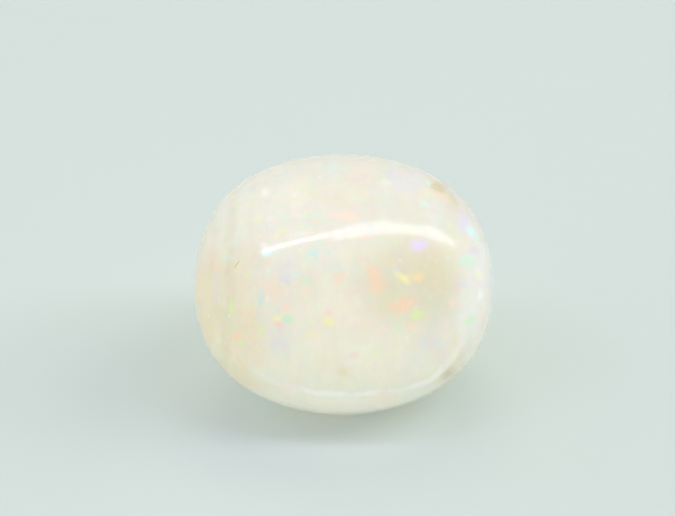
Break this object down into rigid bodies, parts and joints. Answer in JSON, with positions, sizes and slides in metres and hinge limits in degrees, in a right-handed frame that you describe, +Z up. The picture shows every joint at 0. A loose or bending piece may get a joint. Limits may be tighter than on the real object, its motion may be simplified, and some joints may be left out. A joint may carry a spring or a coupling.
{
  "type": "polished opal stone",
  "caption": "Loose polished opal: a full, rounded, squarish oval stone of milky white with pinpoint colour, standing on a small flat base.",
  "frame": {"origin": "middle of the stone's bounding box, at its flat base", "axes": "+X along the stone's length, +Z up from the flat base, -Y towards the broad front face that leans back"},
  "size_m": [0.012, 0.0104, 0.0095],
  "materials": {
    "opal": "glassy polish on milky, slightly translucent opal with small flashes of colour"
  },
  "bodies": {
    "root": {"opal_stone": "opal"}
  },
  "joints": []
}
